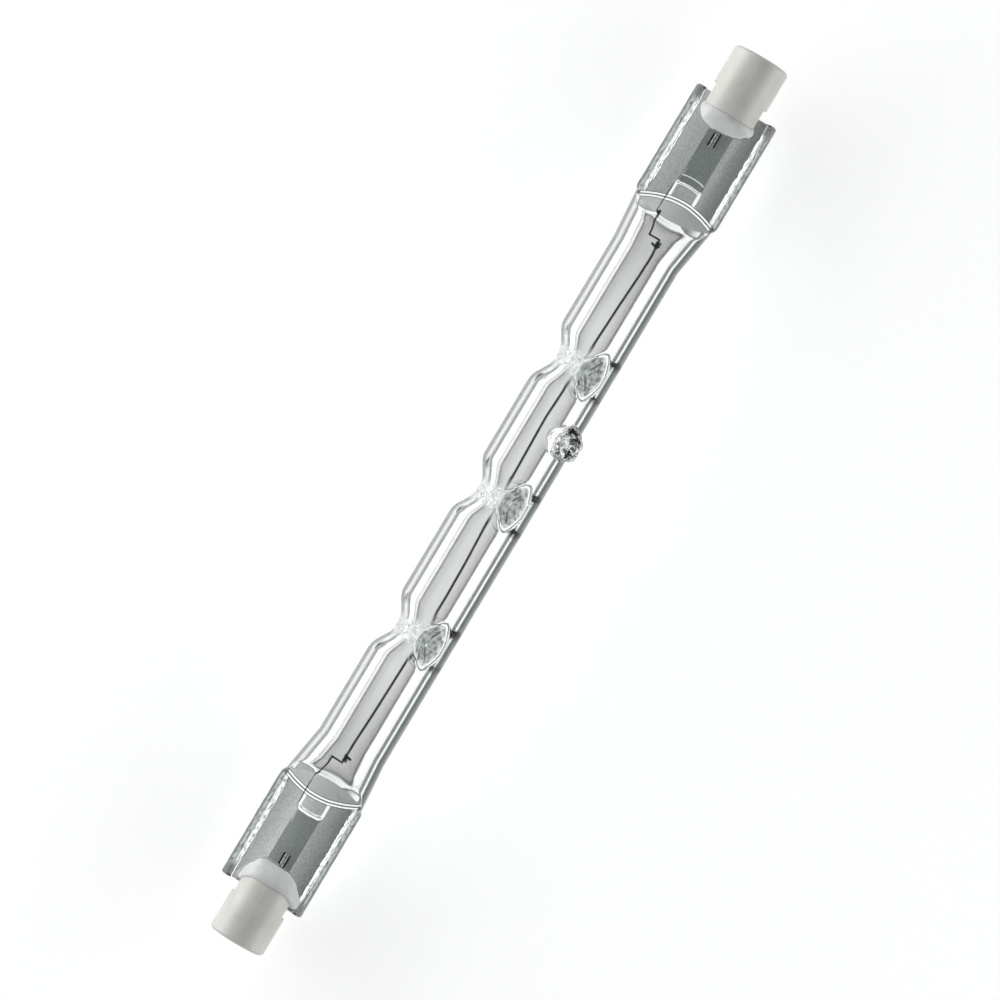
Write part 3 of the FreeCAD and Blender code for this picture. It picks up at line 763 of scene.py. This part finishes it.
BORE_FUSED = span(36.4, 37.2)
BORE_PINCHED = span(3.4, 2.4)


def quartz_bore():
    """The inner skin: the same glass, and clear where it has closed up, at seals and crimps."""
    material, tree = new_material("fused_quartz_bore")
    at = find_places(tree)
    fused = add_node(tree, "MapRange", {0: at.away, **BORE_FUSED})
    closed = add_node(tree, "Math", {
        0: fused, 1: near_crimp(tree, at, BORE_PINCHED)}, operation="MAXIMUM")
    shadow = add_node(tree, "LightPath").outputs["Is Shadow Ray"]
    passed = add_node(tree, "Math", {0: shadow, 1: closed}, operation="MAXIMUM")
    glass = add_node(tree, "BsdfPrincipled", {
        "Base Color": linear(WHITE), "Roughness": 0.0, "IOR": QUARTZ_IOR,
        "Transmission Weight": 1.0})
    clear = add_node(tree, "BsdfTransparent", {"Color": linear(WHITE)})
    surface = add_node(tree, "MixShader", {0: passed, 1: glass, 2: clear})
    add_node(tree, "OutputMaterial", {"Surface": surface})
    return material


outside = raise_tip(envelope_outside())
bore = envelope_bore()
outside_faces = skin_faces(len(outside), POINTS_AROUND, 0, False)
bore_faces = skin_faces(len(bore), POINTS_AROUND_BORE, outside.shape[0] * POINTS_AROUND, True)
quartz = new_piece(
    "quartz_tube_and_seals",
    np.concatenate([outside.reshape(-1, 3), bore.reshape(-1, 3)]),
    outside_faces + bore_faces,
    [polished_quartz(), quartz_bore()])
for polygon in quartz.data.polygons:
    if polygon.index >= len(outside_faces):
        polygon.material_index = 1
    if len(polygon.vertices) > 4:
        polygon.use_smooth = False
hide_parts("quartz_envelope")


# Filament
# One tungsten wire, wound to a fine coil that runs from lead to lead along the lamp. It lies in
# the crimps, and each end of the wire sticks out sideways past the lead that it grips.
WIRE_RADIUS = 0.07
COIL_RADIUS = 0.19
# The real wire is wound about twice as close; so coarse, the winding shows
COIL_PITCH = 0.22
COIL_END = 34.8
COIL_OFFSETS = (
    (-COIL_END, 0.0), (-32.0, -0.02), (-29.0, -0.16), (-25.0, -0.26), (-18.2, -0.42),
    (-12.5, -0.46), (-8.0, -0.36), (-3.4, -0.14), (0.1, -0.02), (5.0, 0.12), (11.0, 0.28),
    (14.0, 0.14), (17.6, -0.02), (22.5, -0.24), (26.5, -0.4), (30.0, -0.6), (33.0, -0.68),
    (COIL_END, -0.6))
STEPS_PER_TURN = 10
WIRE_SIDES = 6
TAIL_RADIUS = 0.14
TAIL_FROM_END = 0.8
TAIL_SIDE = 0.25
TAIL_SLANT = 0.28
TAIL_LENGTH = 1.0
TAIL_RISE = 0.1
GRIP_TURNS = 2.5
GRIP_RADIUS = 0.3
GRIP_WIRE = 0.09
GRIP_FROM_END = 0.65
GRIP_LENGTH = 0.6
GRIP_DROP = 0.1
GRIP_POINTS = 40


def tube_along(points, radius, sides):
    """Rings of points round a path."""
    path = np.asarray(points, dtype=float)
    ways = np.gradient(path, axis=0)
    ways /= np.linalg.norm(ways, axis=1)[:, None]
    normal = np.cross(ways[0], (0, 0, 1.0))
    if np.linalg.norm(normal) < 0.1:
        normal = np.cross(ways[0], (0, 1.0, 0))
    rings = []
    turns = np.linspace(0, 2 * math.pi, sides, endpoint=False)
    for spot, way in zip(path, ways):
        normal = normal - way * np.dot(normal, way)
        normal /= np.linalg.norm(normal)
        beside = np.cross(way, normal)
        rings.append(spot + radius * (
            np.cos(turns)[:, None] * normal + np.sin(turns)[:, None] * beside))
    return np.array(rings)


def coil_path():
    """The wound wire's middle line, round the path on which the coil sags between the crimps."""
    winding = COIL_RADIUS - WIRE_RADIUS
    turns = 2 * COIL_END / COIL_PITCH
    share = np.linspace(0, 1, int(turns * STEPS_PER_TURN) + 1)
    along = -COIL_END + 2 * COIL_END * share
    middle = np.interp(along, *zip(*COIL_OFFSETS))
    angle = 2 * math.pi * turns * share
    return np.stack([along, middle + winding * np.cos(angle), winding * np.sin(angle)], axis=1)


def worked_metal(name, colours, roughness, mark_size, bright=None, find_bright=None):
    """Worked metal with marks of one size, coarser than real ones, and in some places bright:
    clean metal at a lead's weld, painted light on the coil.
    """
    material, tree = new_material(name)
    place = add_node(tree, "TexCoord").outputs["Object"]
    marks = clouds(tree, place, mark_size, 2.0)
    colour = add_node(tree, "Mix", {
        0: marks, 6: linear(colours[0]), 7: linear(colours[1])}, **COLOUR)
    if bright:
        share = find_bright(tree)
        colour = add_node(tree, "Mix", {0: share, 6: colour, 7: linear(bright)}, **COLOUR)
    metal = add_node(tree, "BsdfPrincipled", {
        "Base Color": colour, "Metallic": 1.0, "Roughness": roughness})
    add_node(tree, "OutputMaterial", {"Surface": metal})
    return material


def join_tubes(tubes, sides):
    """The points and faces of several tubes as one mesh."""
    faces = []
    first = 0
    for rings in tubes:
        faces += skin_faces(len(rings), sides, first, False)
        first += len(rings) * sides
    return np.concatenate([rings.reshape(-1, 3) for rings in tubes]), faces


coil_parts = [tube_along(coil_path(), WIRE_RADIUS, WIRE_SIDES)]
for direction, offset in ((-1, COIL_OFFSETS[0][1]), (1, COIL_OFFSETS[-1][1])):
    start = np.array([
        direction * (COIL_END - TAIL_FROM_END), offset - direction * TAIL_SIDE, TAIL_RISE])
    slant = np.array([direction * TAIL_SLANT, direction * TAIL_LENGTH, TAIL_RISE])
    tail = [start, start + slant / 2, start + slant]
    coil_parts.append(tube_along(tail, TAIL_RADIUS, WIRE_SIDES))
    share = np.linspace(0, 1, GRIP_POINTS)
    turn = GRIP_TURNS * 2 * math.pi * share
    along = direction * (COIL_END - GRIP_FROM_END + GRIP_LENGTH * share)
    sideways = offset - GRIP_DROP + GRIP_RADIUS * np.cos(turn)
    grip = np.stack([along, sideways, GRIP_RADIUS * np.sin(turn)], axis=1)
    coil_parts.append(tube_along(grip, GRIP_WIRE, WIRE_SIDES))
coil_points, coil_faces = join_tubes(coil_parts, WIRE_SIDES)

COIL_PAINTED_LIGHT = span(2.9, 1.7)


def find_painted_light_on_coil(tree):
    """A share for painted light on the coil, where the bright glass of a crimp closes round it."""
    return near_crimp(tree, find_places(tree), COIL_PAINTED_LIGHT)


# Drawn and wound tungsten: rough, painted nearly black as painted shade on so thin a coil, and
# painted light where a crimp closes round it
tungsten = worked_metal(
    "tungsten_drawn_and_wound", ("0e0e10", "222226"), roughness=0.55, mark_size=0.3,
    bright="eceeed", find_bright=find_painted_light_on_coil)
filament = new_piece("filament_coil", coil_points, coil_faces, [tungsten])
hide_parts("filament")


# Inner leads, outer leads and foils
# Molybdenum: cranked wires and thick pins, drawn and cut, spot welded to foils that are rolled and
# etched to a fine edge. The pressed quartz grips them all, but does not wet the thick pin, and
# leaves a gap along each side of it, drawn as a black tube of painted shade.
PIN_RADIUS = 0.3
GAP_RADIUS = 0.16
GAP_ENDS = (47.15, 49.6)
GAP_POINTS = 14
GAP_SIDES = 8
GAP_INSET = 0.02
GAP_RISE = 0.2
GAP_WAVE = (0.05, 0.5)
WELD = span(41.2, 41.8)


def find_weld(tree):
    """A share for the lead's end, cleaned bright where it is welded to the foil."""
    return add_node(tree, "MapRange", {0: find_places(tree).away, **WELD})


SHARP_ANGLE = 35.0


def finish_node(node_name, material):
    """Gives a piece of the frame its finish, with its round faces smooth."""
    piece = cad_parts[node_name]
    piece.data.materials.clear()
    piece.data.materials.append(material)
    for polygon in piece.data.polygons:
        polygon.use_smooth = True
    sharp = piece.modifiers.new("sharp_edges", "EDGE_SPLIT")
    sharp.split_angle = math.radians(SHARP_ANGLE)


# The pin is ground bright, the foil is etched to a pale satin and the wire is dark from drawing;
# the gap is a black tube of painted shade
pin_finish = worked_metal(
    "molybdenum_ground_pin", ("c4c6c8", "dcdee0"), roughness=0.2, mark_size=0.4)
gap_painted_shade = worked_metal(
    "unwetted_gap_painted_shade", ("040404", "0c0c0e"), roughness=0.6, mark_size=0.4)
foil_finish = worked_metal(
    "molybdenum_etched_foil", ("e2e6e4", "f2f5f3"), roughness=0.5, mark_size=0.25)
lead_finish = worked_metal(
    "molybdenum_drawn_wire", ("1a1a1c", "3c3c40"), roughness=0.4, mark_size=0.4,
    bright="d8dcda", find_bright=find_weld)
for end, direction in (("left", -1), ("right", 1)):
    finish_node("inner_lead_" + end, lead_finish)
    finish_node("outer_lead_" + end, pin_finish)
    finish_node("seal_foil_" + end, foil_finish)
    pin_low, pin_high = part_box("outer_lead_" + end)
    pin_side = (pin_low[1] + pin_high[1]) / 2 / MM
    gaps = []
    for side in (-1, 1):
        spots = []
        for along in np.linspace(*GAP_ENDS, GAP_POINTS):
            off_pin = side * (PIN_RADIUS - GAP_INSET) + wave(along, side * direction, *GAP_WAVE)
            spots.append((direction * along, pin_side + off_pin, GAP_RISE))
        gaps.append(tube_along(spots, GAP_RADIUS, GAP_SIDES))
    gap_points, gap_faces = join_tubes(gaps, GAP_SIDES)
    pin_gap_painted_shade = new_piece("pin_gap_painted_shade_" + end, gap_points, gap_faces, [gap_painted_shade])


# Ceramic caps
# Dry pressed and fired steatite, unglazed. The slot takes the seal and the recess in the outer
# end shows the contact.
CLOUD_SIZE = 2.5
# The fired grain is finer than 0.1 mm; a little coarser, it shows
GRAIN_SIZE = 0.12
GRAIN_SHARE = 0.6
GRAIN_HEIGHT = 0.02
STEATITE_GLOW_DEPTH = 0.4
SPECKLE_SPREAD = {1: 0.5, 2: 1.1}


def pressed_steatite():
    """Fired steatite: warm white, faintly speckled, with a soft sheen."""
    material, tree = new_material("steatite_pressed_and_fired")
    place = add_node(tree, "TexCoord").outputs["Object"]
    cloud = clouds(tree, place, CLOUD_SIZE, 4.0)
    grain = clouds(tree, place, GRAIN_SIZE, 2.0)
    speckled = add_node(tree, "Math", {
        0: grain, 1: GRAIN_SHARE, 2: cloud}, operation="MULTIPLY_ADD")
    share = add_node(tree, "MapRange", {0: speckled, **SPECKLE_SPREAD})
    shade = add_node(tree, "Mix", {0: share, 6: linear("dedcd4"), 7: linear("f2f1ec")}, **COLOUR)
    bump = add_node(tree, "Bump", {
        "Height": grain, "Strength": 0.25, "Distance": GRAIN_HEIGHT * MM})
    body = add_node(tree, "BsdfPrincipled", {
        "Base Color": shade, "Roughness": 0.42, "IOR": 1.58, "Normal": bump,
        "Subsurface Weight": 0.15, "Subsurface Scale": STEATITE_GLOW_DEPTH * MM})
    add_node(tree, "OutputMaterial", {"Surface": body})
    return material


steatite = pressed_steatite()
for end in ("left", "right"):
    finish_node("ceramic_cap_" + end, steatite)


# Cement
# White ceramic cement, put in wet to hold the seal in the cap. It fills the slot and sets as a
# smooth, slightly translucent mound where it oozed out.
CAP_RADIUS = 3.5
CAP_MOUTH = cap_low[0] / MM
SLOT_DEPTH = 3.2
SLOT_HALF_HEIGHT = 1.48
FILL_SIDE = 3.12
FILL_SQUARENESS = 0.2
FILL_RINGS = 8
MOUND_POINTS = 96
DOME_START = 0.03
DOME_RINGS = 26
LIP_START = 0.15
LIP_RINGS = 8
LIP_LENGTH = 0.5
LIP_PROUD = 0.05
LAP_CURVE = (0.2, -0.5, 1.7)
NOSE_LEAN = 0.25
LOBE_SIDE = 2.1
LOBE_WIDTH = 1.5
LUMP_RATE = 0.55
LUMPS = ((1.0, 0.22), (2.7, 0.12))
LUMP_SIDEWAYS = 0.6
CEMENT_CLOUD_SIZE = 0.9
CEMENT_RELIEF = 0.1
CEMENT_GLOW_DEPTH = 1.5


def set_cement():
    """Set cement: bluish white, dense and a little translucent at its thin edges."""
    material, tree = new_material("cap_cement_set")
    place = add_node(tree, "TexCoord").outputs["Object"]
    cloud = clouds(tree, place, CEMENT_CLOUD_SIZE, 5.0)
    shade = add_node(tree, "Mix", {0: cloud, 6: linear("eef1f6"), 7: linear("fcfdff")}, **COLOUR)
    bump = add_node(tree, "Bump", {
        "Height": cloud, "Strength": 0.3, "Distance": CEMENT_RELIEF * MM})
    body = add_node(tree, "BsdfPrincipled", {
        "Base Color": shade, "Roughness": 0.5, "IOR": 1.55, "Normal": bump,
        "Subsurface Weight": 0.8, "Subsurface Radius": (1.0, 1.0, 1.1),
        "Subsurface Scale": CEMENT_GLOW_DEPTH * MM})
    add_node(tree, "OutputMaterial", {"Surface": body})
    return material


def cement_mound(turn, direction, key, nose_place, spread, lap, lobe):
    """The set cement outside the cap's mouth: a lumpy dome whose edge laps over the ceramic."""
    side = np.cos(turn)
    widest = CAP_RADIUS + LIP_PROUD + np.where(side > 0, spread[0], spread[1]) * side ** 2
    level, square, fourth = LAP_CURVE
    edge = CAP_MOUTH + lap * (level + square * side ** 2 + fourth * side ** 4)
    rings = []
    for share in np.linspace(DOME_START, 1, DOME_RINGS):
        climb = share * math.pi / 2
        nose = nose_place + NOSE_LEAN * (1 - side) * math.sin(climb)
        along = nose + (edge - nose) * (1 - math.cos(climb))
        reach = widest * math.sin(climb)
        swell = np.exp(-((reach * side - LOBE_SIDE) / LOBE_WIDTH) ** 2) * math.cos(climb)
        rings.append((along - lobe * swell, reach, 1.0))
    for share in np.linspace(LIP_START, 1, LIP_RINGS):
        fall = (widest - CAP_RADIUS + LIP_PROUD) * (1 - share ** 2) ** 0.5
        rings.append((edge + LIP_LENGTH * share, CAP_RADIUS - LIP_PROUD + fall, 1 - share))
    points = []
    for along, reach, loose in rings:
        spots = np.stack([direction * along, reach * side, reach * np.sin(turn)], axis=1)
        for spot, way in zip(spots, turn):
            seed = Vector(spot * LUMP_RATE + (0, 0, key))
            lump = sum(noise.noise(seed * rate) * size for rate, size in LUMPS) * loose
            spot[0] -= direction * lump
            spot[1] += lump * math.cos(way) * LUMP_SIDEWAYS
            spot[2] += lump * math.sin(way) * LUMP_SIDEWAYS
        points.append(spots)
    return np.array(points)


# Each mound: its end and direction, the key of its lumps, where its nose is, how far it spreads
# past the cap on each side, how much its edge waves, and the size of the lobe on its nose
MOUNDS = (
    ("left", -1, 3.0, 48.7, (0.35, 0.75), 1.0, 0.4),
    ("right", 1, 11.0, 48.9, (0.0, 0.1), 0.1, 0.0))
cement = set_cement()
turn = np.linspace(0, 2 * math.pi, MOUND_POINTS, endpoint=False)
fill_side = FILL_SIDE * np.sign(np.cos(turn)) * np.abs(np.cos(turn)) ** FILL_SQUARENESS
fill_up = SLOT_HALF_HEIGHT * np.sign(np.sin(turn)) * np.abs(np.sin(turn)) ** FILL_SQUARENESS
for end, direction, *shape in MOUNDS:
    mound = cement_mound(turn, direction, *shape)
    fill = []
    for along in np.linspace(CAP_MOUTH, CAP_MOUTH + SLOT_DEPTH, FILL_RINGS):
        fill.append(np.stack([np.full_like(turn, direction * along), fill_side, fill_up], axis=1))
    points, faces = join_tubes([mound, np.array(fill)], MOUND_POINTS)
    if direction < 0:
        faces = [face[::-1] for face in faces]
    ooze = new_piece("cement_mound_" + end, points, faces, [cement])
    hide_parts("cement_" + end)


# Contacts
# Copper rivets, barrel plated with nickel, which gives a warm silver with a soft shine. Each sits
# at the bottom of its cap's recess and is closed over the end of the outer lead.
nickel = worked_metal(
    "nickel_barrel_plated", ("a8a49c", "b9b5ad"), roughness=0.28, mark_size=0.3)
for end in ("left", "right"):
    finish_node("contact_" + end, nickel)


# Floor, light and camera
# Matt white paper under the lamp, and a long softbox low on each side of it. The camera looks
# straight down through a long lens, with the lamp turned to run up to the right.
FLOOR_SIZE = 1.2
FLOOR_WHITE = "f4f4f4"
FLOOR_GLOW = 0.585


def seen_ray(tree):
    """1 for what the camera sees, straight, mirrored or through glass; 0 for light on the lamp."""
    path = add_node(tree, "LightPath")
    seen = path.outputs["Is Camera Ray"]
    for other in ("Is Glossy Ray", "Is Transmission Ray"):
        seen = add_node(tree, "Math", {0: seen, 1: path.outputs[other]}, operation="MAXIMUM")
    return seen


def studio_floor():
    """Matt white paper. It keeps the lamp's shadow, and is lifted to white where it is seen."""
    material, tree = new_material("studio_paper_white")
    paper = add_node(tree, "BsdfDiffuse", {"Color": linear(FLOOR_WHITE)})
    glow = add_node(tree, "Emission", {"Strength": FLOOR_GLOW})
    lit = add_node(tree, "AddShader", {0: paper, 1: glow})
    surface = add_node(tree, "MixShader", {0: seen_ray(tree), 1: paper, 2: lit})
    add_node(tree, "OutputMaterial", {"Surface": surface})
    return material


floor_mesh = bpy.data.meshes.new("studio_floor")
half = FLOOR_SIZE / 2
corners = [(-half, -half, 0), (half, -half, 0), (half, half, 0), (-half, half, 0)]
floor_mesh.from_pydata(corners, [], [(0, 1, 2, 3)])
floor_mesh.materials.append(studio_floor())
floor = bpy.data.objects.new("studio_floor", floor_mesh)
bpy.context.collection.objects.link(floor)

ROOM_LIGHT = "777979"
ROOM_SEEN = "c8cccb"
world = bpy.data.worlds.new("studio_room")
world.use_nodes = True
room_tree = world.node_tree
room_tree.nodes.clear()
room_colour = add_node(room_tree, "Mix", {
    0: seen_ray(room_tree), 6: linear(ROOM_LIGHT), 7: linear(ROOM_SEEN)}, **COLOUR)
room = add_node(room_tree, "Background", {"Color": room_colour})
add_node(room_tree, "OutputWorld", {"Surface": room})
bpy.context.scene.world = world

# Each softbox: name, place in metres, width and height in metres, power in watts
SOFTBOXES = (
    ("key_softbox", (0.0, 0.45, 0.11), (0.9, 0.18), 2.35),
    ("fill_softbox", (0.0, -0.45, 0.11), (0.9, 0.18), 1.4))
for name, place, size, power in SOFTBOXES:
    light = bpy.data.lights.new(name, "AREA")
    light.shape = "RECTANGLE"
    light.size, light.size_y = size
    light.energy = power
    softbox = bpy.data.objects.new(name, light)
    softbox.location = place
    softbox.rotation_euler = (-Vector(place)).to_track_quat("-Z", "Y").to_euler()
    bpy.context.collection.objects.link(softbox)

FRAME_WIDTH = 0.11455
LAMP_TURN = 59.15
LENS = 200.0
SENSOR = 36.0
LAMP_MIDDLE = (-0.11 * MM, -0.03 * MM)
camera_data = bpy.data.cameras.new("camera")
camera_data.lens = LENS
camera_data.sensor_width = SENSOR
camera = bpy.data.objects.new("camera", camera_data)
turn = math.radians(-LAMP_TURN)
right = Vector((math.cos(turn), math.sin(turn), 0))
above = Vector((-math.sin(turn), math.cos(turn), 0))
distance = FRAME_WIDTH * LENS / SENSOR
aim = -right * LAMP_MIDDLE[0] - above * LAMP_MIDDLE[1]
camera.location = aim + Vector((0, 0, AXIS_HEIGHT * MM + distance))
camera.rotation_euler = (0, 0, turn)
bpy.context.collection.objects.link(camera)
bpy.context.scene.camera = camera
bpy.context.scene.view_settings.view_transform = "Standard"
